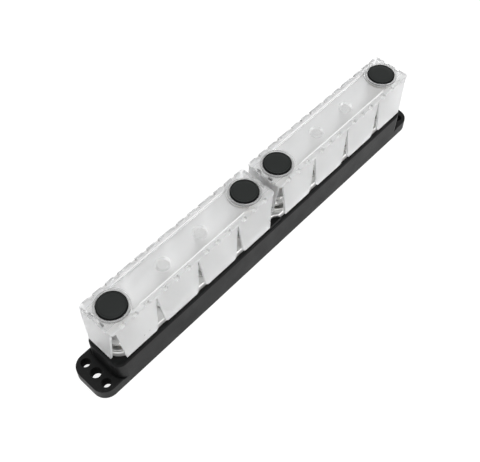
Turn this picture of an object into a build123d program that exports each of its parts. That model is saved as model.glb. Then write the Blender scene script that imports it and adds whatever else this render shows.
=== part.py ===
from build123d import *
import math
import os

# Eight-stud bus bar on a moulded base with two clear covers.
# Frame: origin under the middle of the base, X along the length, front face towards -Y, +Z up.
# All sizes are in millimetres.

# Base moulding
base_length = 378.0
base_width = 38.0
base_draft = 0.9
base_wall = 3.2
ear_length = 17.5
ear_height = 10.8
ear_corner_radius = 11.0
ear_edge_radius = 0.9
plinth_height = 29.0
plinth_corner_radius = 8.0
plinth_edge_radius = 1.5
foot_groove_width = 1.4
foot_groove_depth = 1.6
stud_web = 6.5
rib_thickness = 2.6
boss_wall = 3.4
pocket_clearance = 0.3

# Fixing holes through the ears
fixing_inset = 9.6
side_hole_inset = 7.4
side_hole_diameter = 7.2
centre_hole_diameter = 8.4

# Stud layout: two covers, each with two knob studs outside two cable studs
cover_end_inset = 1.15
cover_gap = 0.9
knob_end_margin = 18.25
cable_stud_spacing = 37.4

# Bus bar
bar_side_margin = 4.0
bar_thickness = 6.0
bar_end_margin = 15.0
bar_end_land = 3.0
bar_edge_chamfer = 0.5
notch_radius = 8.3
notch_depth = 3.3
notch_clearance = 0.4
lug_height = 4.0
stud_hole_clearance = 0.3

# Stud bolts, washers and flange nuts
stud_diameter = 10.0
stud_length = 50.0
stud_tip_chamfer = 1.2
head_across_flats = 16.0
head_height = 6.4
hexagon_chamfer_angle = 30.0
hexagon_face_margin = 0.3
washer_diameter = 30.0
washer_thickness = 2.5
washer_clearance = 0.4
nut_across_flats = 15.0
nut_height = 10.0
nut_countersink = 0.6
flange_diameter = 21.8
flange_rim = 1.5
flange_cone_angle = 25.0
thread_engagement = 0.49
thread_clearance = 0.08

# Covers
cover_overhang = 0.45
cover_draft = 3.3
cover_wall = 1.8
cover_corner_radius = 5.4
cover_edge_radius = 0.6
skirt_gap = 8.7
stud_headroom = 0.7
recess_depth = 1.2
recess_side_margin = 5.7
recess_slope = 45.0
recess_boss_margin = 1.3
slit_bottom_gap = 8.0
slit_top_gap = 1.2
flap_chamfer = 2.0
corner_gap_bottom = 9.0
corner_gap_top = 4.0
end_gap_bottom = 7.8
end_gap_top = 1.8
flaps_per_side = 4
notches_per_flap = 3
fold_notch_pitch = 11.4
fold_notch_width = 4.2
fold_notch_height = 2.0
fold_notch_reach = 2.6
end_notches = 2
wall_cut_reach = 0.45

# Knob bosses of the covers and the captive knobs
seat_gap = 0.3
boss_floor = 2.0
boss_hole_clearance = 0.75
boss_tube_wall = 2.0
boss_taper = 1.5
seat_depth = 1.0
seat_ring_wall = 1.3
seat_ring_height = 0.8
knob_diameter = 22.5
knob_height = 2.3
knob_edge_radius = 0.4
knob_seat_clearance = 0.5
knob_ledge = 1.9
knob_neck_length = 2.6
knob_neck_clearance = 0.4
knob_crown = 1.2
sleeve_wall = 2.0
sleeve_running_clearance = 0.1
sleeve_collar_width = 1.2
sleeve_collar_height = 1.5
sleeve_mouth_chamfer = 0.6

# Lengths and widths that follow from the sizes above
plinth_length = base_length - 2 * ear_length
side_hole_spacing = base_width - 2 * side_hole_inset
cover_length = (plinth_length - 2 * cover_end_inset - cover_gap) / 2
cover_width = base_width + 2 * cover_overhang
cover_spacing = cover_length + cover_gap
knob_stud_spacing = cover_length - 2 * knob_end_margin
bar_width = base_width - 2 * bar_side_margin
bar_end_radius = (bar_width - bar_end_land) / 2

# Heights that follow from the sizes above
web_bottom = plinth_height - stud_web
stud_top = web_bottom + stud_length
bar_top = plinth_height + bar_thickness
washer_top = bar_top + washer_thickness
nut_top = washer_top + nut_height
skirt_bottom = plinth_height + skirt_gap
cover_top = stud_top + stud_headroom + cover_wall + recess_depth
cover_height = cover_top - skirt_bottom
top_wall_bottom = cover_top - cover_wall
recess_floor = cover_top - recess_depth
seat_floor = cover_top - seat_depth
boss_bottom = nut_top + seat_gap
boss_floor_top = boss_bottom + boss_floor

# Radii that follow from the sizes above
stud_radius = stud_diameter / 2
stud_hole_radius = stud_radius + stud_hole_clearance
engaged_radius = stud_radius - thread_engagement
knob_radius = knob_diameter / 2
neck_radius = knob_radius - knob_ledge
boss_bore_radius = neck_radius + knob_neck_clearance
boss_radius = boss_bore_radius + boss_tube_wall
seat_radius = knob_radius + knob_seat_clearance
seat_ring_radius = seat_radius + seat_ring_wall
sleeve_bore_radius = stud_radius + sleeve_running_clearance
sleeve_radius = sleeve_bore_radius + sleeve_wall

# Places along the length
cover_places = [-cover_spacing / 2, cover_spacing / 2]
knob_offsets = [-knob_stud_spacing / 2, knob_stud_spacing / 2]
cable_offsets = [-cable_stud_spacing / 2, cable_stud_spacing / 2]
stud_offsets = sorted(knob_offsets + cable_offsets)
stud_places = [cover + offset for cover in cover_places for offset in stud_offsets]
knob_places = [cover + offset for cover in cover_places for offset in knob_offsets]

# Overshoot of cutting bodies past the face they leave through
overcut = 1.0


def across_corners(across_flats):
    return across_flats / math.cos(math.pi / 6)


def disc(radius, height, place=(0, 0, 0)):
    return extrude(Location(place) * Circle(radius), height)


def hexagon_bar(across_flats, height, place=(0, 0, 0)):
    profile = RegularPolygon(across_corners(across_flats) / 2, 6)
    return extrude(Location(place) * profile, height)


def revolved(points):
    # Turns a half section, given as radius and height pairs, about the Z axis.
    profile = make_face(Polyline(*points, close=True).edges())
    return revolve(Plane.XZ * profile, Axis.Z)


def narrowing(height, angle):
    # How far a sloping face moves sideways over a given height, or down over a given width.
    return height * math.tan(math.radians(angle))


def drafted_block(length, width, corner_radius, height, angle, bottom=0.0):
    outline = RectangleRounded(length, width, corner_radius)
    return extrude(Location((0, 0, bottom)) * outline, height, taper=angle)


# Base moulding: drafted plinth with an ear at each end, cored from below
def rounded_rim(block, radius):
    return fillet(block.faces().sort_by(Axis.Z)[-1].edges(), radius)


def base_outside():
    plinth = drafted_block(plinth_length, base_width, plinth_corner_radius, plinth_height, base_draft)
    ears = drafted_block(base_length, base_width, ear_corner_radius, ear_height, base_draft)
    return rounded_rim(plinth, plinth_edge_radius) + (rounded_rim(ears, ear_edge_radius) - foot_band())


def foot_band():
    # The ears are cut back in a narrow band round the plinth's foot, which leaves a groove beside it.
    reach = foot_groove_width - narrowing(ear_height, base_draft)
    band = RectangleRounded(plinth_length + 2 * reach, base_width + 2 * reach, plinth_corner_radius + reach)
    return extrude(Location((0, 0, ear_height - foot_groove_depth)) * band, foot_groove_depth + overcut)


def pocket_across_flats():
    return head_across_flats + 2 * pocket_clearance


def core_below():
    # Hollow under the plinth: side walls, a lengthwise rib, cross ribs and a boss round each bolt head stay.
    length = plinth_length - 2 * base_wall
    width = base_width - 2 * base_wall
    core = extrude(RectangleRounded(length, width, plinth_corner_radius - base_wall), web_bottom)
    core -= extrude(Rectangle(length, rib_thickness), web_bottom)
    for place in cross_rib_places():
        core -= extrude(Location((place, 0, 0)) * Rectangle(rib_thickness, width), web_bottom)
    boss = across_corners(pocket_across_flats()) / 2 + boss_wall
    for place in stud_places:
        core -= disc(boss, web_bottom, (place, 0, 0))
    return core


def cross_rib_places():
    return [(left + right) / 2 for left, right in zip(stud_places, stud_places[1:])]


def fixing_holes():
    holes = Part()
    for end in (-1, 1):
        place = end * (base_length / 2 - fixing_inset)
        holes += disc(centre_hole_diameter / 2, ear_height + overcut, (place, 0, 0))
        for side in (-side_hole_spacing / 2, side_hole_spacing / 2):
            holes += disc(side_hole_diameter / 2, ear_height + overcut, (place, side, 0))
    return holes


def notch_circle(radius):
    # The bar is located by a shallow round notch in the middle of each long edge.
    centre = bar_width / 2 + notch_radius - notch_depth
    return Pos(0, centre) * Circle(radius) + Pos(0, -centre) * Circle(radius)


def locating_lugs():
    top_width = base_width - 2 * narrowing(plinth_height, base_draft) - 2 * plinth_edge_radius
    outline = notch_circle(notch_radius - notch_clearance) & Rectangle(2 * notch_radius, top_width)
    return extrude(Location((0, 0, plinth_height)) * outline, lug_height)


def base_moulding():
    body = base_outside() - core_below() - fixing_holes()
    for place in stud_places:
        body -= hexagon_bar(pocket_across_flats(), web_bottom, (place, 0, 0))
        body -= disc(stud_hole_radius, plinth_height, (place, 0, 0))
    return body + locating_lugs()


# Bus bar: flat tinned bar with rounded ends
def bus_bar():
    length = stud_places[-1] - stud_places[0] + 2 * bar_end_margin
    outline = RectangleRounded(length, bar_width, bar_end_radius) - notch_circle(notch_radius)
    bar = extrude(Location((0, 0, plinth_height)) * outline, bar_thickness)
    rims = bar.faces().sort_by(Axis.Z)
    bar = chamfer(rims[0].edges() + rims[-1].edges(), bar_edge_chamfer)
    for place in stud_places:
        bar -= disc(stud_hole_radius, bar_thickness, (place, 0, plinth_height))
    return bar


# Fasteners: hexagon bolts pushed up from below, large washers and flange nuts
def cornered_hexagon(across_flats, height, bottom, chamfer_top):
    # Hexagon whose corners are turned off at one end.
    face = across_flats / 2 - hexagon_face_margin
    corner = across_corners(across_flats) / 2
    drop = narrowing(corner - face, hexagon_chamfer_angle)
    if chamfer_top:
        points = [(0, 0), (corner, 0), (corner, height - drop), (face, height), (0, height)]
    else:
        points = [(0, 0), (face, 0), (corner, drop), (corner, height), (0, height)]
    return Pos(0, 0, bottom) * (hexagon_bar(across_flats, height) & revolved(points))


def stud_bolt(place):
    head = cornered_hexagon(head_across_flats, head_height, web_bottom - head_height, False)
    # Inside the nut the thread is drawn at its middle depth, so the nut can't slide off.
    points = [(0, web_bottom - overcut), (stud_radius, web_bottom - overcut), (stud_radius, washer_top)]
    points += [(engaged_radius, washer_top), (engaged_radius, nut_top), (stud_radius, nut_top)]
    points += [(stud_radius, stud_top - stud_tip_chamfer), (stud_radius - stud_tip_chamfer, stud_top)]
    points += [(0, stud_top)]
    return Pos(place, 0, 0) * (head + revolved(points))


def flat_washer(place):
    ring = Circle(washer_diameter / 2) - Circle(stud_radius + washer_clearance)
    return extrude(Location((place, 0, bar_top)) * ring, washer_thickness)


def flange_nut(place):
    flange = flange_diameter / 2
    bore = engaged_radius + thread_clearance
    neck = nut_across_flats / 2
    cone_top = flange_rim + narrowing(flange - neck, flange_cone_angle)
    points = [(0, 0), (flange, 0), (flange, flange_rim), (neck, cone_top), (0, cone_top)]
    nut = cornered_hexagon(nut_across_flats, nut_height, 0, True) + revolved(points)
    nut -= disc(bore, nut_height)
    countersink = [(0, nut_height), (bore + nut_countersink, nut_height)]
    countersink += [(bore, nut_height - nut_countersink), (0, nut_height - nut_countersink)]
    return Pos(place, 0, washer_top) * (nut - revolved(countersink))


# Covers: one clear moulding each, with break-out flaps on the long sides and the ends
def top_length():
    return cover_length - 2 * narrowing(cover_height, cover_draft)


def top_width():
    return cover_width - 2 * narrowing(cover_height, cover_draft)


def cover_outside():
    corner = cover_corner_radius
    block = drafted_block(cover_length, cover_width, corner, cover_height, cover_draft, skirt_bottom)
    return rounded_rim(block, cover_edge_radius)


def cover_inside():
    flare = 2 * narrowing(overcut, cover_draft)
    length = cover_length - 2 * cover_wall + flare
    width = cover_width - 2 * cover_wall + flare
    height = top_wall_bottom - skirt_bottom + overcut
    corner = cover_corner_radius - cover_wall
    return drafted_block(length, width, corner, height, cover_draft, skirt_bottom - overcut)


def recess_width():
    return top_width() - 2 * recess_side_margin


def boss_outline(radius):
    circles = [Pos(offset, 0) * Circle(radius) for offset in knob_offsets]
    return circles[0] + circles[1]


def recess_cut():
    # Sunk panel between the knobs: its long sides slope, and it is stepped back round each knob boss.
    height = recess_depth + overcut
    floor = Location((0, 0, recess_floor))
    panel = extrude(floor * Rectangle(knob_stud_spacing, recess_width()), height, taper=-recess_slope)
    return panel - extrude(floor * boss_outline(seat_ring_radius + recess_boss_margin), height)


def upright_wedge(points, near, far):
    # Prism with its outline drawn in X and Z, running along -Y between two distances.
    return extrude(Plane.XZ.offset(near) * make_face(Polyline(*points, close=True).edges()), far - near)


def both_sides(solid):
    return solid + mirror(solid, Plane.XZ)


def both_ends(solid):
    return solid + mirror(solid, Plane.YZ)


def slit_outline(place):
    low = slit_bottom_gap / 2
    high = slit_top_gap / 2
    lift = skirt_bottom + flap_chamfer
    right = [(low + flap_chamfer, skirt_bottom - overcut), (low + flap_chamfer, skirt_bottom), (low, lift)]
    right += [(high, top_wall_bottom)]
    left = [(-x, z) for x, z in reversed(right)]
    return [(place + x, z) for x, z in right + left]


def flap_pitch():
    return top_length() / flaps_per_side


def side_cut_range():
    return top_width() / 2 - cover_wall - wall_cut_reach, cover_width / 2 + overcut


def end_cut_range():
    return top_length() / 2 - cover_wall - wall_cut_reach, cover_length / 2 + overcut


def side_slits():
    near, far = side_cut_range()
    cuts = Part()
    for number in range(1, flaps_per_side):
        place = (number - flaps_per_side / 2) * flap_pitch()
        cuts += upright_wedge(slit_outline(place), near, far)
    return both_sides(cuts)


def corner_opening(foot, low_gap, top, high_gap):
    # Outline of the opening beside an upright corner: wide at the foot and narrow at the fold.
    return [(foot - low_gap, skirt_bottom - overcut), (foot + overcut, skirt_bottom - overcut),
            (foot + overcut, top_wall_bottom), (top - high_gap, top_wall_bottom)]


def corner_openings():
    side_points = corner_opening(cover_length / 2, corner_gap_bottom, top_length() / 2, corner_gap_top)
    side = both_ends(upright_wedge(side_points, *side_cut_range()))
    end_points = corner_opening(cover_width / 2, end_gap_bottom, top_width() / 2, end_gap_top)
    end = Rot(0, 0, 90) * upright_wedge(end_points, *end_cut_range())
    return both_sides(side) + both_ends(both_sides(end))


def notch_slot(length, width):
    # One slot, given by its size in plan about its middle.
    floor = cover_top - fold_notch_height
    return extrude(Location((0, 0, floor)) * Rectangle(length, width), fold_notch_height + overcut)


def fold_notches():
    # Short slots that weaken the fold along the top edge, so that a flap can be snapped off.
    edge = top_width() / 2 + overcut - (fold_notch_reach + overcut) / 2
    cuts = Part()
    for number in range(flaps_per_side):
        middle = (number + 0.5 - flaps_per_side / 2) * flap_pitch()
        if number in (0, flaps_per_side - 1):
            middle -= math.copysign(corner_gap_top / 2, middle)
        for notch in range(notches_per_flap):
            offset = (notch - (notches_per_flap - 1) / 2) * fold_notch_pitch
            cuts += Pos(middle + offset, edge, 0) * notch_slot(fold_notch_width, fold_notch_reach + overcut)
    return both_sides(cuts)


def end_fold_notches():
    edge = top_length() / 2 + overcut - (fold_notch_reach + overcut) / 2
    cuts = Part()
    for notch in range(end_notches):
        offset = (notch - (end_notches - 1) / 2) * fold_notch_pitch
        cuts += Pos(edge, offset, 0) * notch_slot(fold_notch_reach + overcut, fold_notch_width)
    return both_ends(cuts)


def knob_bosses():
    # Cup that hangs from the top wall, takes the knob's neck and stands on the nut below.
    tube_height = seat_floor - boss_bottom
    foot = boss_radius - narrowing(tube_height, boss_taper)
    cup = revolved([(0, boss_bottom), (foot, boss_bottom), (boss_radius, seat_floor), (0, seat_floor)])
    ring = disc(seat_ring_radius, cover_top + seat_ring_height - top_wall_bottom, (0, 0, top_wall_bottom))
    return Pos(knob_offsets[0], 0, 0) * (cup + ring) + Pos(knob_offsets[1], 0, 0) * (cup + ring)


def knob_bores():
    hole = stud_radius + boss_hole_clearance
    bore = disc(boss_bore_radius, seat_floor - boss_floor_top, (0, 0, boss_floor_top))
    bore += disc(seat_radius, seat_depth + seat_ring_height + overcut, (0, 0, seat_floor))
    bore += disc(hole, boss_floor + 2 * overcut, (0, 0, boss_bottom - overcut))
    return Pos(knob_offsets[0], 0, 0) * bore + Pos(knob_offsets[1], 0, 0) * bore


def clear_cover(place):
    # The sunk panel is as thick as the walls, so its underside hangs below the top wall.
    plate = Rectangle(knob_stud_spacing, recess_width() + 2 * cover_wall)
    cover = cover_outside() - cover_inside()
    cover += extrude(Location((0, 0, recess_floor - cover_wall)) * plate, cover_wall)
    cover += knob_bosses()
    cover -= recess_cut()
    cover -= knob_bores()
    cover -= side_slits() + corner_openings()
    cover -= fold_notches() + end_fold_notches()
    return Pos(place, 0, 0) * cover


# Knobs: a black cap moulded on a threaded sleeve
def head_bottom():
    return seat_floor + seat_gap


def head_top():
    return head_bottom() + knob_height


def sleeve_top():
    return head_top() - knob_crown


def sleeve_bottom():
    return boss_floor_top + seat_gap


def sleeve_outside():
    # Plain tube with a collar at its top that is locked inside the cap.
    collar = sleeve_radius + sleeve_collar_width
    tube = disc(sleeve_radius, sleeve_top() - sleeve_bottom(), (0, 0, sleeve_bottom()))
    return tube + disc(collar, sleeve_collar_height, (0, 0, sleeve_top() - sleeve_collar_height))


def knob_cap(place):
    head = rounded_rim(disc(knob_radius, knob_height, (0, 0, head_bottom())), knob_edge_radius)
    neck = disc(neck_radius, knob_neck_length, (0, 0, head_bottom() - knob_neck_length))
    return Pos(place, 0, 0) * (head + neck - sleeve_outside())


def knob_sleeve(place):
    length = sleeve_top() - sleeve_bottom()
    bore = disc(sleeve_bore_radius, length, (0, 0, sleeve_bottom()))
    mouth = sleeve_bore_radius + sleeve_mouth_chamfer
    points = [(0, 0), (mouth, 0), (sleeve_bore_radius, sleeve_mouth_chamfer), (0, sleeve_mouth_chamfer)]
    return Pos(place, 0, 0) * (sleeve_outside() - bore - Pos(0, 0, sleeve_bottom()) * revolved(points))


def write_step(name, shape):
    export_step(shape, "parts/" + name + ".step")


def main():
    os.makedirs("parts", exist_ok=True)
    write_step("base_moulding", base_moulding())
    write_step("bus_bar", bus_bar())
    for number, place in enumerate(stud_places, start=1):
        write_step(f"stud_bolt_{number}", stud_bolt(place))
        write_step(f"flat_washer_{number}", flat_washer(place))
        write_step(f"flange_nut_{number}", flange_nut(place))
    for name, place in zip(("cover_left", "cover_right"), cover_places):
        write_step(name, clear_cover(place))
    for number, place in enumerate(knob_places, start=1):
        write_step(f"knob_cap_{number}", knob_cap(place))
        write_step(f"knob_sleeve_{number}", knob_sleeve(place))


main()
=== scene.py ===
import math

import bmesh
import bpy
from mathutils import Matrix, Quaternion, Vector


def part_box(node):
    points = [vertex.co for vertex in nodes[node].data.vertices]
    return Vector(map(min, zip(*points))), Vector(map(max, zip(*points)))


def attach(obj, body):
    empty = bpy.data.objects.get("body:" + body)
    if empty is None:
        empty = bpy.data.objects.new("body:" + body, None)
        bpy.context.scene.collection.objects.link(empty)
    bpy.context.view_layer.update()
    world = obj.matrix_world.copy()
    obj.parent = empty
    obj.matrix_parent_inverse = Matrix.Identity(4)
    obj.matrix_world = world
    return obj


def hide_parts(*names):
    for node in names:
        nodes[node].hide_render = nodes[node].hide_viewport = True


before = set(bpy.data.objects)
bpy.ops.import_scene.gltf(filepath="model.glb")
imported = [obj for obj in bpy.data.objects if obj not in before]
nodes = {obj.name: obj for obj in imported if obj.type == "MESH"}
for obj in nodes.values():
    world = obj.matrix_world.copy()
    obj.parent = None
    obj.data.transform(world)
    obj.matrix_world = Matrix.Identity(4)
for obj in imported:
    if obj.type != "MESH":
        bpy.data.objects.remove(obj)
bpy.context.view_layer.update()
print("frame loaded:", len(nodes), "nodes")


# Places read from the frame. All lengths here and below are in metres, and colours are linear.
def middleOf(name):
    low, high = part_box(name)
    return (low + high) / 2


def heightsOf(name):
    low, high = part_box(name)
    return low.z, high.z


def radiusOf(name):
    low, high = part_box(name)
    return (high.x - low.x) / 2


def nodesNamed(start):
    return sorted(name for name in nodes if name.startswith(start))


# Node helpers
def addNode(tree, kind, values=None, **settings):
    node = tree.nodes.new(kind)
    for key, value in settings.items():
        setattr(node, key, value)
    for key, value in (values or {}).items():
        node.inputs[key].default_value = value
    return node


def addSockets(group, way, kinds):
    for name, kind in kinds.items():
        group.interface.new_socket(name, in_out=way, socket_type="NodeSocket" + kind)


def newMaterial(name):
    material = bpy.data.materials.new(name)
    material.use_nodes = True
    tree = material.node_tree
    tree.nodes.clear()
    shader = addNode(tree, "ShaderNodeBsdfPrincipled")
    output = addNode(tree, "ShaderNodeOutputMaterial")
    tree.links.new(shader.outputs["BSDF"], output.inputs["Surface"])
    return material, tree, shader


def objectPoint(tree):
    return addNode(tree, "ShaderNodeTexCoord").outputs["Object"]


def scaled(colour, factor):
    return tuple(channel * factor for channel in colour)


def addMix(tree, dataType, factor, ends):
    # Each end is a plain value, or the output of another node.
    node = addNode(tree, "ShaderNodeMix", data_type=dataType)
    for label, end in zip("AB", ends):
        if isinstance(end, bpy.types.NodeSocket):
            tree.links.new(end, node.inputs[label])
        else:
            node.inputs[label].default_value = end
    tree.links.new(factor, node.inputs["Factor"])
    return node.outputs["Result"]


def mixColour(tree, factor, first, second):
    ends = [(*end, 1) if isinstance(end, tuple) else end for end in (first, second)]
    return addMix(tree, "RGBA", factor, ends)


def mixNumber(tree, factor, first, second):
    return addMix(tree, "FLOAT", factor, (first, second))


def rangeOf(tree, value, low, high, fromLow=0.0, fromHigh=1.0):
    ends = {"From Min": fromLow, "From Max": fromHigh, "To Min": low, "To Max": high}
    node = addNode(tree, "ShaderNodeMapRange", ends)
    tree.links.new(value, node.inputs["Value"])
    return node.outputs["Result"]


def addBump(tree, shader, height, strength, distance):
    node = addNode(tree, "ShaderNodeBump", {"Strength": strength, "Distance": distance})
    tree.links.new(height, node.inputs["Height"])
    tree.links.new(node.outputs["Normal"], shader.inputs["Normal"])


def colourAndRoughen(tree, shader, colour, rough):
    tree.links.new(colour, shader.inputs["Base Color"])
    tree.links.new(rough, shader.inputs["Roughness"])


# Fine moulded or cast grain: a height, and a slow mottle. The noise lies mostly in its span.
grainValues = {"fine": {"Detail": 3.0, "Roughness": 0.6},
               "slow": {"Detail": 4.0, "Roughness": 0.55}, "span": (0.3, 0.7)}


def makeGrainGroup():
    group = bpy.data.node_groups.new("surfaceGrain", "ShaderNodeTree")
    addSockets(group, "INPUT", {"Vector": "Vector", "Fine Scale": "Float", "Slow Scale": "Float"})
    addSockets(group, "OUTPUT", {"Height": "Float", "Mottle": "Float"})
    inside = addNode(group, "NodeGroupInput")
    outside = addNode(group, "NodeGroupOutput")
    for scale, texture, result in (("Fine Scale", grainValues["fine"], "Height"),
                                   ("Slow Scale", grainValues["slow"], "Mottle")):
        noise = addNode(group, "ShaderNodeTexNoise", texture)
        group.links.new(inside.outputs["Vector"], noise.inputs["Vector"])
        group.links.new(inside.outputs[scale], noise.inputs["Scale"])
        group.links.new(noise.outputs["Fac"], outside.inputs[result])
    return group


def makeAxisGroup():
    # Distance from the nearest of a mirrored set of upright axes, less a radius.
    group = bpy.data.node_groups.new("axisDistance", "ShaderNodeTree")
    addSockets(group, "INPUT", {"Vector": "Vector", "Mirror X": "Float", "Offset X": "Float",
                                "Mirror Y": "Float", "Radius": "Float"})
    addSockets(group, "OUTPUT", {"Distance": "Float"})
    inside = addNode(group, "NodeGroupInput")
    outside = addNode(group, "NodeGroupOutput")
    split = addNode(group, "ShaderNodeSeparateXYZ")
    join = addNode(group, "ShaderNodeCombineXYZ")
    length = addNode(group, "ShaderNodeVectorMath", operation="LENGTH")
    less = addNode(group, "ShaderNodeMath", operation="SUBTRACT")
    link = group.links.new

    def folded(value, label):
        size = addNode(group, "ShaderNodeMath", operation="ABSOLUTE")
        shift = addNode(group, "ShaderNodeMath", operation="SUBTRACT")
        link(value, size.inputs[0])
        link(size.outputs[0], shift.inputs[0])
        link(inside.outputs[label], shift.inputs[1])
        return shift.outputs[0]

    link(inside.outputs["Vector"], split.inputs["Vector"])
    link(folded(folded(split.outputs["X"], "Mirror X"), "Offset X"), join.inputs["X"])
    link(folded(split.outputs["Y"], "Mirror Y"), join.inputs["Y"])
    link(join.outputs["Vector"], length.inputs[0])
    link(length.outputs["Value"], less.inputs[0])
    link(inside.outputs["Radius"], less.inputs[1])
    link(less.outputs[0], outside.inputs["Distance"])
    return group


grainGroup = makeGrainGroup()
axisGroup = makeAxisGroup()


def placeGroup(tree, group, values):
    node = addNode(tree, "ShaderNodeGroup", values, node_tree=group)
    tree.links.new(objectPoint(tree), node.inputs["Vector"])
    return node


def axisDistance(tree, mirrorX, offsetX, mirrorY, radius):
    values = {"Mirror X": mirrorX, "Offset X": offsetX, "Mirror Y": mirrorY, "Radius": radius}
    return placeGroup(tree, axisGroup, values).outputs["Distance"]


def pairDistance(tree, pair, radius):
    # Distance beyond a radius from two upright pieces and their mirror images.
    inner, outer = (middleOf(name).x for name in pair)
    return axisDistance(tree, (inner + outer) / 2, (outer - inner) / 2, 0.0, radius)


def aboveMask(tree, height, edge):
    # One above a height, with a narrow edge below it.
    split = addNode(tree, "ShaderNodeSeparateXYZ")
    tree.links.new(objectPoint(tree), split.inputs["Vector"])
    return rangeOf(tree, split.outputs["Z"], 0.0, 1.0, height - edge, height)


def mottledColour(tree, mottle, colour, shades):
    dark, light = shades
    return mixColour(tree, mottle, scaled(colour, dark), scaled(colour, light))


def unevenRoughness(tree, noise, roughness, spread):
    smoother, rougher = spread
    return rangeOf(tree, noise, roughness - smoother, roughness + rougher, *grainValues["span"])


# Finishes that several pieces share. Shades are shares of a piece's colour, and the spread is
# how far its roughness goes down and up.
mouldedValues = {"mottleScale": 45.0, "shades": (0.86, 1.16), "spread": (0.05, 0.06),
                 "bumpDistance": 0.0002, "ior": 1.5}
metalValues = {"mottleScale": 70.0, "shades": (0.90, 1.08), "spread": (0.07, 0.09),
               "lineDetail": 3.0, "lineRoughness": 0.65, "bumpDistance": 0.0001, "tipEdge": 0.0001}
satinValues = {"grainScale": 1500.0, "mottleScale": 30.0, "shades": (0.97, 1.0),
               "spread": (0.03, 0.04), "bumpStrength": 0.05, "bumpDistance": 0.0001}


def makeMouldedBlack(name, values, paintedShadeMask):
    # The mask marks hole walls and steep rims, which are duller than open faces, and darker by
    # painted shade.
    material, tree, shader = newMaterial(name)
    grain = placeGroup(tree, grainGroup, {"Fine Scale": values["grainScale"],
                                          "Slow Scale": mouldedValues["mottleScale"]})
    mottle, paintedShadeZone = grain.outputs["Mottle"], paintedShadeMask(tree)
    colour = mottledColour(tree, mottle, values["colour"], mouldedValues["shades"])
    # Painted shade: the masked zone's colour is darkened.
    colour = mixColour(tree, paintedShadeZone, colour, scaled(values["colour"], values["paintedShadeShare"]))
    rough = unevenRoughness(tree, mottle, values["roughness"], mouldedValues["spread"])
    colourAndRoughen(tree, shader, colour, mixNumber(tree, paintedShadeZone, rough, values["deepRoughness"]))
    addBump(tree, shader, grain.outputs["Height"], values["grainDepth"],
            mouldedValues["bumpDistance"])
    shader.inputs["IOR"].default_value = mouldedValues["ior"]
    shader.inputs["Specular IOR Level"].default_value = values["specular"]
    return material


def makeMetal(name, values, tipHeight=None):
    # Brushed or turned metal: fine lines along it or round its axis, with a slow tarnish. Given a
    #     tip height, the colour above it is lighter: painted light.
    material, tree, shader = newMaterial(name)
    grain = placeGroup(tree, grainGroup, {"Slow Scale": metalValues["mottleScale"]})
    stretch = addNode(tree, "ShaderNodeMapping", {"Scale": values["lineStretch"]})
    lines = addNode(tree, "ShaderNodeTexNoise", {"Scale": values["lineScale"],
                                                 "Detail": metalValues["lineDetail"],
                                                 "Roughness": metalValues["lineRoughness"]})
    tree.links.new(objectPoint(tree), stretch.inputs["Vector"])
    tree.links.new(stretch.outputs["Vector"], lines.inputs["Vector"])
    colour = mottledColour(tree, grain.outputs["Mottle"], values["colour"], metalValues["shades"])
    if tipHeight is not None:
        tip = aboveMask(tree, tipHeight, metalValues["tipEdge"])
        colour = mixColour(tree, tip, colour, values["tipPaintedLight"])
    rough = unevenRoughness(tree, lines.outputs["Fac"], values["roughness"], metalValues["spread"])
    colourAndRoughen(tree, shader, colour, rough)
    addBump(tree, shader, lines.outputs["Fac"], values["lineDepth"], metalValues["bumpDistance"])
    shader.inputs["Metallic"].default_value = values["metallic"]
    return material


def startSatin(name, values):
    # The mottle, roughness and bump that a cover, its beads and its pads share.
    material, tree, shader = newMaterial(name)
    grain = placeGroup(tree, grainGroup, {"Fine Scale": satinValues["grainScale"],
                                          "Slow Scale": satinValues["mottleScale"]})
    mottle = grain.outputs["Mottle"]
    colour = mottledColour(tree, mottle, values["colour"], satinValues["shades"])
    rough = unevenRoughness(tree, mottle, values["roughness"], satinValues["spread"])
    addBump(tree, shader, grain.outputs["Height"], satinValues["bumpStrength"],
            satinValues["bumpDistance"])
    return material, tree, shader, colour, rough


def makeSatin(name, values):
    material, tree, shader, colour, rough = startSatin(name, values)
    colourAndRoughen(tree, shader, colour, rough)
    return material


# Mesh helpers
meshValues = {"mergeDistance": 1e-6, "sliverDistance": 1e-7, "sharpDegrees": 32}


def meshFrom(name, build):
    mesh = bpy.data.meshes.new(name)
    work = bmesh.new()
    build(work)
    bmesh.ops.remove_doubles(work, verts=work.verts, dist=meshValues["mergeDistance"])
    bmesh.ops.dissolve_degenerate(work, dist=meshValues["sliverDistance"], edges=work.edges)
    bmesh.ops.recalc_face_normals(work, faces=work.faces)
    work.to_mesh(mesh)
    work.free()
    mesh.polygons.foreach_set("use_smooth", [True] * len(mesh.polygons))
    mesh.set_sharp_from_angle(angle=math.radians(meshValues["sharpDegrees"]))
    return mesh


def ringLoft(work, rings, closed=False):
    # Joins rings of points into quads. A closed loft also joins the last ring to the first.
    made = [[work.verts.new(point) for point in ring] for ring in rings]
    pairs = list(zip(made, made[1:]))
    if closed:
        pairs.append((made[-1], made[0]))
    for lower, upper in pairs:
        count = len(lower)
        for index in range(count):
            following = (index + 1) % count
            work.faces.new((lower[index], lower[following], upper[following], upper[index]))
    return made


def cappedLoft(work, rings):
    made = ringLoft(work, rings)
    work.faces.new(made[0])
    work.faces.new(made[-1])


def ringAngles(segments):
    return [2 * math.pi * index / segments for index in range(segments)]


def circleRing(radius, height, segments):
    return [(radius * math.cos(angle), radius * math.sin(angle), height)
            for angle in ringAngles(segments)]


def hexRadius(acrossFlats, angle):
    sector = math.pi / 3
    offset = (angle + sector / 2) % sector - sector / 2
    return acrossFlats / 2 / math.cos(sector / 2 - abs(offset))


def hexRing(acrossFlats, segments, heightAt):
    # A ring on a hexagon. A point's height follows from its distance to the axis.
    ring = []
    for angle in ringAngles(segments):
        reach = hexRadius(acrossFlats, angle)
        ring.append((reach * math.cos(angle), reach * math.sin(angle), heightAt(reach)))
    return ring


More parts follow.
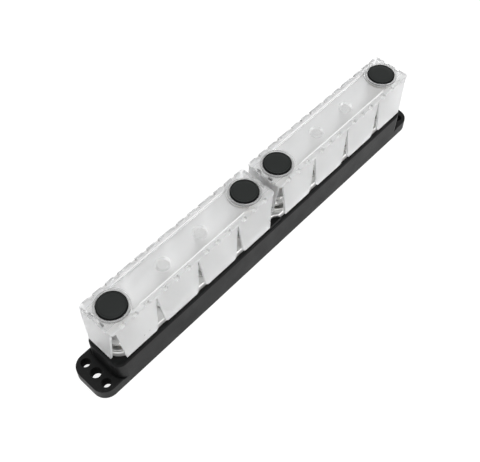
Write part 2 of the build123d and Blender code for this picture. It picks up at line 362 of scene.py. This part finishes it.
def arcPoints(centre, radius, startDegrees, endDegrees, steps):
    points = []
    for step in range(steps + 1):
        angle = math.radians(startDegrees + (endDegrees - startDegrees) * step / steps)
        points.append((centre[0] + radius * math.cos(angle), centre[1] + radius * math.sin(angle)))
    return points


def addPiece(name, mesh, body, material, replaced=()):
    piece = bpy.data.objects.new(name, mesh)
    bpy.context.scene.collection.objects.link(piece)
    if not mesh.materials:
        mesh.materials.append(material)
    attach(piece, body)
    if replaced:
        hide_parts(*replaced)


def dressNode(name, material):
    # A carried-over CAD node keeps its shape and gets its finish here.
    for slot in nodes[name].material_slots:
        slot.material = material


# Fasteners and pads, which repeat, are placed by one node group
def makeRowGroup():
    group = bpy.data.node_groups.new("repeatedRow", "GeometryNodeTree")
    addSockets(group, "INPUT", {"Geometry": "Geometry", "Source": "Object", "Turn": "Float",
                                "Seed": "Int", "Material": "Material"})
    addSockets(group, "OUTPUT", {"Geometry": "Geometry"})
    inside = addNode(group, "NodeGroupInput")
    outside = addNode(group, "NodeGroupOutput")
    source = addNode(group, "GeometryNodeObjectInfo")
    turn = addNode(group, "FunctionNodeRandomValue", data_type="FLOAT")
    spin = addNode(group, "ShaderNodeCombineXYZ")
    instance = addNode(group, "GeometryNodeInstanceOnPoints")
    realize = addNode(group, "GeometryNodeRealizeInstances")
    dress = addNode(group, "GeometryNodeSetMaterial")
    link = group.links.new
    link(inside.outputs["Geometry"], instance.inputs["Points"])
    link(inside.outputs["Source"], source.inputs["Object"])
    link(source.outputs["Geometry"], instance.inputs["Instance"])
    link(inside.outputs["Turn"], turn.inputs["Max"])
    link(inside.outputs["Seed"], turn.inputs["Seed"])
    link(turn.outputs["Value"], spin.inputs["Z"])
    link(spin.outputs["Vector"], instance.inputs["Rotation"])
    link(instance.outputs["Instances"], realize.inputs["Geometry"])
    link(realize.outputs["Geometry"], dress.inputs["Geometry"])
    link(inside.outputs["Material"], dress.inputs["Material"])
    link(dress.outputs["Geometry"], outside.inputs["Geometry"])
    return group


rowGroup = makeRowGroup()


def socketName(group, label):
    return next(item.identifier for item in group.interface.items_tree
                if item.name == label and item.in_out == "INPUT")


def placeRow(name, mesh, places, material, values):
    # Copies of a mesh at the places, each turned by its own angle up to the largest turn.
    source = bpy.data.objects.new(name + "Source", mesh)
    bpy.context.scene.collection.objects.link(source)
    pointMesh = bpy.data.meshes.new(name + "Points")
    pointMesh.from_pydata(places, [], [])
    carrier = bpy.data.objects.new(name + "Carrier", pointMesh)
    bpy.context.scene.collection.objects.link(carrier)
    modifier = carrier.modifiers.new("row", "NODES")
    modifier.node_group = rowGroup
    for label, value in (("Source", source), ("Turn", values["largestTurn"]),
                         ("Seed", values["turnSeed"]), ("Material", material)):
        modifier[socketName(rowGroup, label)] = value
    bpy.context.view_layer.update()
    shown = carrier.evaluated_get(bpy.context.evaluated_depsgraph_get())
    result = bpy.data.meshes.new_from_object(shown)
    result.name = name
    carrier.modifiers.remove(modifier)
    bpy.data.objects.remove(carrier)
    bpy.data.objects.remove(source)
    return result


print("helpers and node groups ready")

# Base moulding: the holes in its ears are duller inside, and darkened inside by painted shade
baseValues = {"colour": (0.0056, 0.0059, 0.0060), "roughness": 0.44, "specular": 0.12,
              "grainScale": 2600.0, "grainDepth": 0.20, "paintedShadeShare": 0.25, "deepRoughness": 0.95,
              "holeInset": 0.0096, "sideHoleInset": 0.0074, "sideHoleRadius": 0.0036,
              "centreHoleRadius": 0.0042, "holeEdge": (0.0001, 0.0003)}


# Marks the walls of the ears' holes, whose colour is darkened as painted shade.
def holeWallShadeMask(tree):
    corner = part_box("base_moulding")[1]
    place = corner.x - baseValues["holeInset"]
    side = corner.y - baseValues["sideHoleInset"]
    nearest = addNode(tree, "ShaderNodeMath", operation="MINIMUM")
    holes = ((side, baseValues["sideHoleRadius"]), (0.0, baseValues["centreHoleRadius"]))
    for index, (across, radius) in enumerate(holes):
        tree.links.new(axisDistance(tree, place, 0.0, across, radius), nearest.inputs[index])
    return rangeOf(tree, nearest.outputs[0], 1.0, 0.0, *baseValues["holeEdge"])


basePlastic = makeMouldedBlack("basePlastic", baseValues, holeWallShadeMask)
dressNode("base_moulding", basePlastic)

# Bus bar: tinned, with fine lines along its length
barValues = {"colour": (0.86, 0.86, 0.85), "roughness": 0.42, "metallic": 0.85,
             "lineScale": 900.0, "lineStretch": (0.05, 1.0, 1.0), "lineDepth": 0.10}

tinnedBar = makeMetal("tinnedBar", barValues)
dressNode("bus_bar", tinnedBar)
print("base and bar dressed")

# Stud bolts with cut threads. The thread's crest and root are flats, as shares of its pitch.
studValues = {"colour": (0.48, 0.48, 0.47), "roughness": 0.34, "metallic": 1.0,
              "lineScale": 1500.0, "lineStretch": (1.0, 1.0, 6.0), "lineDepth": 0.08,
              "tipPaintedLight": (0.54, 0.54, 0.53), "tipDepth": 0.0003, "tipChamfer": 0.0012,
              "radius": 0.005, "shankOverlap": 0.0005, "acrossFlats": 0.016,
              "headHeight": 0.0064, "headSegments": 72, "chamferDegrees": 30.0,
              "faceMargin": 0.0003, "largestTurn": 0.0, "turnSeed": 1}
threadValues = {"pitch": 0.0015, "depth": 0.00082, "crestShare": 0.125, "rootShare": 0.25,
                "segments": 32}

fastenerPlaces = [(middleOf(name).x, middleOf(name).y, 0) for name in nodesNamed("stud_bolt_")]


def threadRows():
    # Where a turn's crest ends, its root starts and ends, and the next crest starts, with the
    # depth cut at each.
    crest, root = threadValues["crestShare"] / 2, threadValues["rootShare"] / 2
    depth = threadValues["depth"]
    return [(crest, 0.0), (0.5 - root, depth), (0.5 + root, depth), (1 - crest, 0.0)]


def buildThread(work, radius, bottom, top, chamfer):
    # The grid follows the helix, so crests stay crisp. Rows past an end fold onto its ring.
    pitch = threadValues["pitch"]
    segments = threadValues["segments"]
    turns = math.ceil((top - bottom) / pitch) + 2
    rows = []
    for turn in range(-1, turns):
        for share, cut in threadRows():
            row = []
            for index in range(segments + 1):
                height = bottom + (turn + share + index / segments) * pitch
                depth = cut if bottom < height < top else 0.0
                height = min(max(height, bottom), top)
                limit = radius - max(0.0, height - (top - chamfer))
                reach = min(radius - depth, limit)
                angle = 2 * math.pi * index / segments
                point = (reach * math.cos(angle), reach * math.sin(angle), height)
                row.append(work.verts.new(point))
            rows.append(row)
    for lower, upper in zip(rows, rows[1:]):
        for index in range(segments):
            work.faces.new((lower[index], lower[index + 1], upper[index + 1], upper[index]))


def buildStudBolt(work):
    foot, tip = heightsOf("stud_bolt_1")
    threadBottom = heightsOf("flat_washer_1")[0]
    radius, chamfer, flats = (studValues[key] for key in ("radius", "tipChamfer", "acrossFlats"))
    headSegments, segments = studValues["headSegments"], threadValues["segments"]
    headTop = foot + studValues["headHeight"]
    face = flats / 2 - studValues["faceMargin"]
    slope = math.tan(math.radians(studValues["chamferDegrees"]))
    cappedLoft(work, [circleRing(face, foot, headSegments),
                      hexRing(flats, headSegments, lambda reach: foot + (reach - face) * slope),
                      hexRing(flats, headSegments, lambda reach: headTop)])
    shank = ringLoft(work, [circleRing(radius, headTop - studValues["shankOverlap"], segments),
                            circleRing(radius, threadBottom, segments)])
    work.faces.new(shank[0])
    buildThread(work, radius, threadBottom, tip, chamfer)
    work.faces.new([work.verts.new(point) for point in circleRing(radius - chamfer, tip, segments)])


def makeFasteners(name, build, start, values, material):
    row = placeRow(name + "s", meshFrom(name, build), fastenerPlaces, material, values)
    addPiece(name + "s", row, "base", material, nodesNamed(start))


# The studs' end faces are lighter: painted light from above.
studTip = heightsOf("stud_bolt_1")[1] - studValues["tipDepth"]
studSteel = makeMetal("studSteel", studValues, studTip)
makeFasteners("studBolt", buildStudBolt, "stud_bolt_", studValues, studSteel)

# Washers with softened edges, in the same bright steel as the nuts
brightValues = {"colour": (0.60, 0.60, 0.59), "roughness": 0.14, "metallic": 1.0,
                "lineScale": 1500.0, "lineStretch": (1.0, 1.0, 6.0), "lineDepth": 0.08}
washerValues = {"boreGap": 0.0004, "edgeRadius": 0.00035, "edgeSteps": 4, "segments": 96,
                "largestTurn": 6.28, "turnSeed": 2}


def buildWasher(work):
    low, high = heightsOf("flat_washer_1")
    outer = radiusOf("flat_washer_1")
    inner = studValues["radius"] + washerValues["boreGap"]
    edge, steps = washerValues["edgeRadius"], washerValues["edgeSteps"]
    profile = [(inner, low), (outer - edge, low)]
    profile += arcPoints((outer - edge, low + edge), edge, -90, 0, steps)[1:]
    profile += arcPoints((outer - edge, high - edge), edge, 0, 90, steps)
    profile += [(inner, high)]
    segments = washerValues["segments"]
    ringLoft(work, [circleRing(*point, segments) for point in profile], closed=True)


nutSteel = makeMetal("nutSteel", brightValues)
makeFasteners("flatWasher", buildWasher, "flat_washer_", washerValues, nutSteel)

# Flange nuts: a coned flange, chamfered corners, and a bore that reaches into the stud's thread
nutValues = {"acrossFlats": 0.015, "flangeRim": 0.0015, "coneDegrees": 25.0,
             "chamferDegrees": 30.0, "faceMargin": 0.0003, "edgeRadius": 0.0003, "edgeSteps": 3,
             "boreCut": 0.0004, "mouthGap": 0.0002, "segments": 72, "largestTurn": 6.28,
             "turnSeed": 4}


def buildFlangeNut(work):
    low, high = heightsOf("flange_nut_1")
    outer = radiusOf("flange_nut_1")
    edge, steps, flats = (nutValues[key] for key in ("edgeRadius", "edgeSteps", "acrossFlats"))
    rimTop = low + nutValues["flangeRim"]
    rimEnd = 90 - nutValues["coneDegrees"]
    cone = math.tan(math.radians(nutValues["coneDegrees"]))
    slope = math.tan(math.radians(nutValues["chamferDegrees"]))
    face = flats / 2 - nutValues["faceMargin"]
    bore = studValues["radius"] - nutValues["boreCut"]
    mouth = studValues["radius"] + nutValues["mouthGap"]
    profile = [(bore, low), (outer - edge, low)]
    profile += arcPoints((outer - edge, low + edge), edge, -90, 0, steps)[1:]
    profile += arcPoints((outer - edge, rimTop - edge), edge, 0, rimEnd, steps)
    coneReach, coneFoot = profile[-1]
    segments = nutValues["segments"]
    rings = [circleRing(*point, segments) for point in profile]
    rings.append(hexRing(flats, segments, lambda reach: coneFoot + (coneReach - reach) * cone))
    rings.append(hexRing(flats, segments, lambda reach: high - (reach - face) * slope))
    rings += [circleRing(face, high, segments), circleRing(mouth, high, segments)]
    rings.append(circleRing(bore, high - (mouth - bore), segments))
    ringLoft(work, rings, closed=True)


makeFasteners("flangeNut", buildFlangeNut, "flange_nut_", nutValues, nutSteel)
print("studs, washers and nuts built")

# Covers: frosted. The sunk panel is dull below and polished on top, with a clear spot over each
# cable stud, whose end all but touches it. The knobs' seats are polished, and greyed by painted
# shade.
coverValues = {"colour": (0.985, 0.988, 0.99), "roughness": 0.30, "transmission": 0.74,
               "ior": 1.49, "topNarrowing": 0.0022, "ringHeight": 0.0008, "zoneDepth": 0.0034,
               "polishDepth": 0.0021, "heightEdge": 0.0001, "panelInset": 0.0056,
               "panelEdge": 0.0002, "panelRoughness": 0.42, "panelTopRoughness": 0.05,
               "windowRadius": 0.0054, "windowEdge": 0.0016, "windowRoughness": 0.12,
               "seatRadius": 0.0134, "seatEdge": 0.0002, "seatRoughness": 0.05, "seatPaintedShade": 0.72}
coverKnobs = {"left": (1, 2), "right": (3, 4)}
knobPair = ("knob_cap_3", "knob_cap_4")
cableStudPair = ("stud_bolt_6", "stud_bolt_7")


def coverTop():
    # The covers' flat top, below the rings round the knobs.
    return heightsOf("cover_left")[1] - coverValues["ringHeight"]


def coverHalfTop():
    low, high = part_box("cover_left")
    return (high.y - low.y) / 2 - coverValues["topNarrowing"]


def panelMask(tree):
    # One along the middle of the covers, inside the borders of their top.
    across = coverHalfTop() - coverValues["panelInset"]
    split = addNode(tree, "ShaderNodeSeparateXYZ")
    size = addNode(tree, "ShaderNodeMath", operation="ABSOLUTE")
    tree.links.new(objectPoint(tree), split.inputs["Vector"])
    tree.links.new(split.outputs["Y"], size.inputs[0])
    return rangeOf(tree, size.outputs[0], 1.0, 0.0, across, across + coverValues["panelEdge"])


def spotMask(tree, pair, radius, edge):
    return rangeOf(tree, pairDistance(tree, pair, radius), 1.0, 0.0, 0.0, edge)


def makeFrosted(name, values):
    material, tree, shader, colour, rough = startSatin(name, values)
    edge = values["heightEdge"]
    seat = spotMask(tree, knobPair, values["seatRadius"], values["seatEdge"])
    window = spotMask(tree, cableStudPair, values["windowRadius"], values["windowEdge"])
    # Painted shade: the seats round the knobs are greyed.
    colour = mixColour(tree, seat, colour, scaled(values["colour"], values["seatPaintedShade"]))
    polished = aboveMask(tree, coverTop() - values["polishDepth"], edge)
    under = mixNumber(tree, window, values["panelRoughness"], values["windowRoughness"])
    panel = mixNumber(tree, polished, under, values["panelTopRoughness"])
    zones = mixNumber(tree, panelMask(tree), rough, panel)
    zones = mixNumber(tree, seat, zones, values["seatRoughness"])
    upper = aboveMask(tree, coverTop() - values["zoneDepth"], edge)
    colourAndRoughen(tree, shader, colour, mixNumber(tree, upper, rough, zones))
    shader.inputs["IOR"].default_value = values["ior"]
    shader.inputs["Transmission Weight"].default_value = values["transmission"]
    return material


frostedClear = makeFrosted("frostedClear", coverValues)
for side in coverKnobs:
    dressNode("cover_" + side, frostedClear)
print("covers dressed")

# Knobs: a flat black disc with a fine groove inside its rim, on a turned brass sleeve. The dish
# inside the groove is given as shares of the groove's radius and of its depth.
knobValues = {"colour": (0.0108, 0.0124, 0.0119), "roughness": 0.42, "specular": 0.15,
              "grainScale": 2200.0, "grainDepth": 0.18, "paintedShadeShare": 0.25, "deepRoughness": 0.95,
              "rimWidth": 0.0009, "rimEdgeShare": 0.4, "headHeight": 0.0023, "neckInset": 0.0019,
              "boreRadius": 0.0075, "edgeRadius": 0.0005, "edgeSteps": 5, "segments": 96,
              "grooveDepth": 0.00025, "grooveWidths": 2.4, "grooveLip": 0.2,
              "dish": ((0.6, 0.3), (0.25, 0.3))}
sleeveValues = {"colour": (0.72, 0.52, 0.24), "roughness": 0.28, "metallic": 1.0,
                "lineScale": 1500.0, "lineStretch": (1.0, 1.0, 6.0), "lineDepth": 0.10}


# Marks the rim outside the groove, whose colour is darkened as painted shade.
def knobRimShadeMask(tree):
    rim = knobValues["rimWidth"]
    distance = pairDistance(tree, knobPair, radiusOf(knobPair[1]) - rim)
    return rangeOf(tree, distance, 0.0, 1.0, 0.0, rim * knobValues["rimEdgeShare"])


def buildKnob(work, name):
    low, high = heightsOf(name)
    middle, radius = middleOf(name), radiusOf(name)
    neck = radius - knobValues["neckInset"]
    shoulder = high - knobValues["headHeight"]
    edge, depth = knobValues["edgeRadius"], knobValues["grooveDepth"]
    groove = radius - edge - knobValues["rimWidth"]
    inner = groove - knobValues["grooveWidths"] * depth
    profile = [(knobValues["boreRadius"], low), (neck, low), (neck, shoulder), (radius, shoulder)]
    profile += arcPoints((radius - edge, high - edge), edge, 0, 90, knobValues["edgeSteps"])
    profile += [(groove, high), (groove - depth, high - depth)]
    profile += [(inner, high - depth * knobValues["grooveLip"])]
    profile += [(groove * reach, high - depth * share) for reach, share in knobValues["dish"]]
    rings = [circleRing(*point, knobValues["segments"]) for point in profile]
    cappedLoft(work, [[(x + middle.x, y + middle.y, z) for x, y, z in ring] for ring in rings])


knobPlastic = makeMouldedBlack("knobPlastic", knobValues, knobRimShadeMask)
turnedBrass = makeMetal("turnedBrass", sleeveValues)
for number in range(1, 5):
    capNode = f"knob_cap_{number}"
    capMesh = meshFrom(f"knobCap{number}", lambda work: buildKnob(work, capNode))
    addPiece(f"knobCap{number}", capMesh, f"knob_{number}", knobPlastic, [capNode])
    dressNode(f"knob_sleeve_{number}", turnedBrass)
print("knobs built")

# Raised beads along the sunk panel of each cover, tapered at both ends. Their opaque pale
# plastic is a painted highlight along the panel's edge
beadValues = {"colour": (0.64, 0.64, 0.635), "roughness": 0.45, "width": 0.0015,
              "height": 0.0003, "sunk": 0.00005, "inset": 0.0046, "knobGap": 0.0125,
              "taper": 0.002, "endShare": 0.2, "steps": 10}


def buildBeads(work, knobs):
    first, last = (middleOf(f"knob_cap_{number}").x for number in knobs)
    start, end = first + beadValues["knobGap"], last - beadValues["knobGap"]
    taper, small = beadValues["taper"], beadValues["endShare"]
    across = coverHalfTop() - beadValues["inset"]
    foot = coverTop() - beadValues["sunk"]
    angles = [math.pi * step / beadValues["steps"] for step in range(beadValues["steps"] + 1)]
    for middle in (-across, across):
        rings = []
        for x, share in ((start, small), (start + taper, 1.0), (end - taper, 1.0), (end, small)):
            half = beadValues["width"] / 2 * share
            rise = beadValues["height"] * share + beadValues["sunk"]
            rings.append([(x, middle + half * math.cos(angle), foot + rise * math.sin(angle))
                          for angle in angles])
        cappedLoft(work, rings)


# Pale and opaque: a painted highlight on the beads, and painted light in the slots under the pads.
paintedLightPlastic = makeSatin("paintedLightPlastic", beadValues)
for side, knobs in coverKnobs.items():
    beadMesh = meshFrom("panelBeads_" + side, lambda work: buildBeads(work, knobs))
    addPiece("panelBeads_" + side, beadMesh, "cover_" + side, paintedLightPlastic)

# Thin pads that line the short slots along the covers' long fold, in pairs, front and back. The
# slots of the flaps at a cover's ends are shifted towards its middle. The pads' pale, opaque
# plastic lightens the slots: painted light.
padValues = {"flaps": 4, "perFlap": 3, "pitch": 0.0114, "cornerShift": 0.0020,
             "halfLength": 0.0020, "slotDepth": 0.0020, "slotReach": 0.0026,
             "thickness": 0.00015, "margin": 0.0001, "largestTurn": 0.0, "turnSeed": 3}


def padPlaces(side):
    low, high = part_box("cover_" + side)
    flaps, perFlap = padValues["flaps"], padValues["perFlap"]
    flapPitch = (high.x - low.x - 2 * coverValues["topNarrowing"]) / flaps
    for flap in range(flaps):
        place = (flap + 0.5 - flaps / 2) * flapPitch
        if flap in (0, flaps - 1):
            place -= math.copysign(padValues["cornerShift"], place)
        for slot in range(perFlap):
            x = (low.x + high.x) / 2 + place + (slot - (perFlap - 1) / 2) * padValues["pitch"]
            yield x, 0, 0


def buildPadPair(work):
    half, thick, margin = (padValues[key] for key in ("halfLength", "thickness", "margin"))
    back = coverHalfTop() - padValues["slotReach"] + margin
    front = coverHalfTop() - margin
    foot = coverTop() - padValues["slotDepth"] + margin / 2
    crest = coverTop() - 2 * margin
    outline = [(back, foot), (front, foot), (front, foot + thick), (back + thick, foot + thick),
               (back + thick, crest), (back, crest)]
    for way in (-1, 1):
        ends = (-half * way, half * way)
        cappedLoft(work, [[(x, way * y, z) for y, z in outline] for x in ends])


padMesh = meshFrom("foldPad", buildPadPair)
for side in coverKnobs:
    padRow = placeRow("foldPads_" + side, padMesh, list(padPlaces(side)), paintedLightPlastic, padValues)
    addPiece("foldPads_" + side, padRow, "cover_" + side, paintedLightPlastic)
print("beads and pads built")

# Stage: pale floor and white surroundings
floorValues = {"size": 6.0, "colour": (0.90, 0.90, 0.90), "roughness": 0.9,
               "speckleScale": 8.0, "shades": (0.99, 1.0), "whiteShare": 0.86, "lampShare": 0.25}
worldValues = {"strength": 0.86, "whiteStrength": 1.0}
plainWhite = (1, 1, 1, 1)


def mixWhite(tree, lit, white):
    # The camera and mirrors see the white shader. Light and what the covers show use the lit one.
    path = addNode(tree, "ShaderNodeLightPath")
    mirrored = addNode(tree, "ShaderNodeMath", operation="SUBTRACT", use_clamp=True)
    seen = addNode(tree, "ShaderNodeMath", operation="MAXIMUM")
    mix = addNode(tree, "ShaderNodeMixShader")
    tree.links.new(path.outputs["Is Glossy Ray"], mirrored.inputs[0])
    tree.links.new(path.outputs["Is Transmission Ray"], mirrored.inputs[1])
    tree.links.new(path.outputs["Is Camera Ray"], seen.inputs[0])
    tree.links.new(mirrored.outputs[0], seen.inputs[1])
    tree.links.new(seen.outputs[0], mix.inputs["Fac"])
    tree.links.new(lit.outputs[0], mix.inputs[1])
    tree.links.new(white.outputs[0], mix.inputs[2])
    return mix.outputs[0]


def makeFloor():
    # The white has a share of lamp light in it, so that the object's shadow shows on it.
    material, tree, shader = newMaterial("paleFloor")
    speckle = placeGroup(tree, grainGroup, {"Slow Scale": floorValues["speckleScale"]})
    colour = mottledColour(tree, speckle.outputs["Mottle"], floorValues["colour"],
                           floorValues["shades"])
    tree.links.new(colour, shader.inputs["Base Color"])
    shader.inputs["Roughness"].default_value = floorValues["roughness"]
    shader.inputs["Specular IOR Level"].default_value = 0.0
    lampColour = (*scaled(floorValues["colour"], floorValues["lampShare"]), 1)
    white = addNode(tree, "ShaderNodeEmission", {"Color": plainWhite,
                                                 "Strength": floorValues["whiteShare"]})
    dim = addNode(tree, "ShaderNodeBsdfDiffuse", {"Color": lampColour})
    both = addNode(tree, "ShaderNodeAddShader")
    tree.links.new(white.outputs[0], both.inputs[0])
    tree.links.new(dim.outputs[0], both.inputs[1])
    output = next(node for node in tree.nodes if node.type == "OUTPUT_MATERIAL")
    tree.links.new(mixWhite(tree, shader, both), output.inputs["Surface"])
    half = floorValues["size"] / 2
    corners = [(-half, -half, 0), (half, -half, 0), (half, half, 0), (-half, half, 0)]
    mesh = bpy.data.meshes.new("floor")
    mesh.from_pydata(corners, [], [(0, 1, 2, 3)])
    mesh.materials.append(material)
    floor = bpy.data.objects.new("floor", mesh)
    bpy.context.scene.collection.objects.link(floor)


def makeWorld():
    world = bpy.data.worlds.new("studio")
    bpy.context.scene.world = world
    world.use_nodes = True
    tree = world.node_tree
    tree.nodes.clear()
    soft, white = (addNode(tree, "ShaderNodeBackground", {"Color": plainWhite, "Strength": power})
                   for power in (worldValues["strength"], worldValues["whiteStrength"]))
    output = addNode(tree, "ShaderNodeOutputWorld")
    tree.links.new(mixWhite(tree, soft, white), output.inputs["Surface"])


makeFloor()
makeWorld()
print("floor and world set")

# Soft lamps
lampValues = {
    "topLamp": {"place": (0.0, 0.0, 1.1), "aim": (0, 0, 0), "power": 3.0, "size": 0.9},
    "keyLamp": {"place": (0.6, -0.9, 0.7), "aim": (0, 0, 0.03), "power": 6.0, "size": 0.6},
    "rimLamp": {"place": (-0.2, 1.0, 0.7), "aim": (0, 0, 0.03), "power": 1.6, "size": 0.6}}


def aimed(values):
    return (Vector(values["aim"]) - Vector(values["place"])).to_track_quat("-Z", "Y")


def addLamp(name, values):
    lamp = bpy.data.lights.new(name, "AREA")
    lamp.energy = values["power"]
    lamp.size = values["size"]
    holder = bpy.data.objects.new(name, lamp)
    holder.location = values["place"]
    holder.rotation_euler = aimed(values).to_euler()
    bpy.context.scene.collection.objects.link(holder)


for lampName, values in lampValues.items():
    addLamp(lampName, values)

# Camera at the photograph's viewing angle
cameraValues = {"place": (-0.27564, -0.23016, 0.52953), "aim": (-0.02876, -0.00502, 0.040),
                "lens": 56.54, "sensorWidth": 36.0, "rollDegrees": 0.605}


def makeCamera():
    camera = bpy.data.cameras.new("camera")
    camera.lens = cameraValues["lens"]
    camera.sensor_fit = "HORIZONTAL"
    camera.sensor_width = cameraValues["sensorWidth"]
    holder = bpy.data.objects.new("camera", camera)
    holder.location = cameraValues["place"]
    roll = Quaternion((0, 0, 1), math.radians(cameraValues["rollDegrees"]))
    holder.rotation_euler = (aimed(cameraValues) @ roll).to_euler()
    bpy.context.scene.collection.objects.link(holder)
    bpy.context.scene.camera = holder


makeCamera()
bpy.context.scene.view_settings.view_transform = "Standard"
print("lamps and camera set")
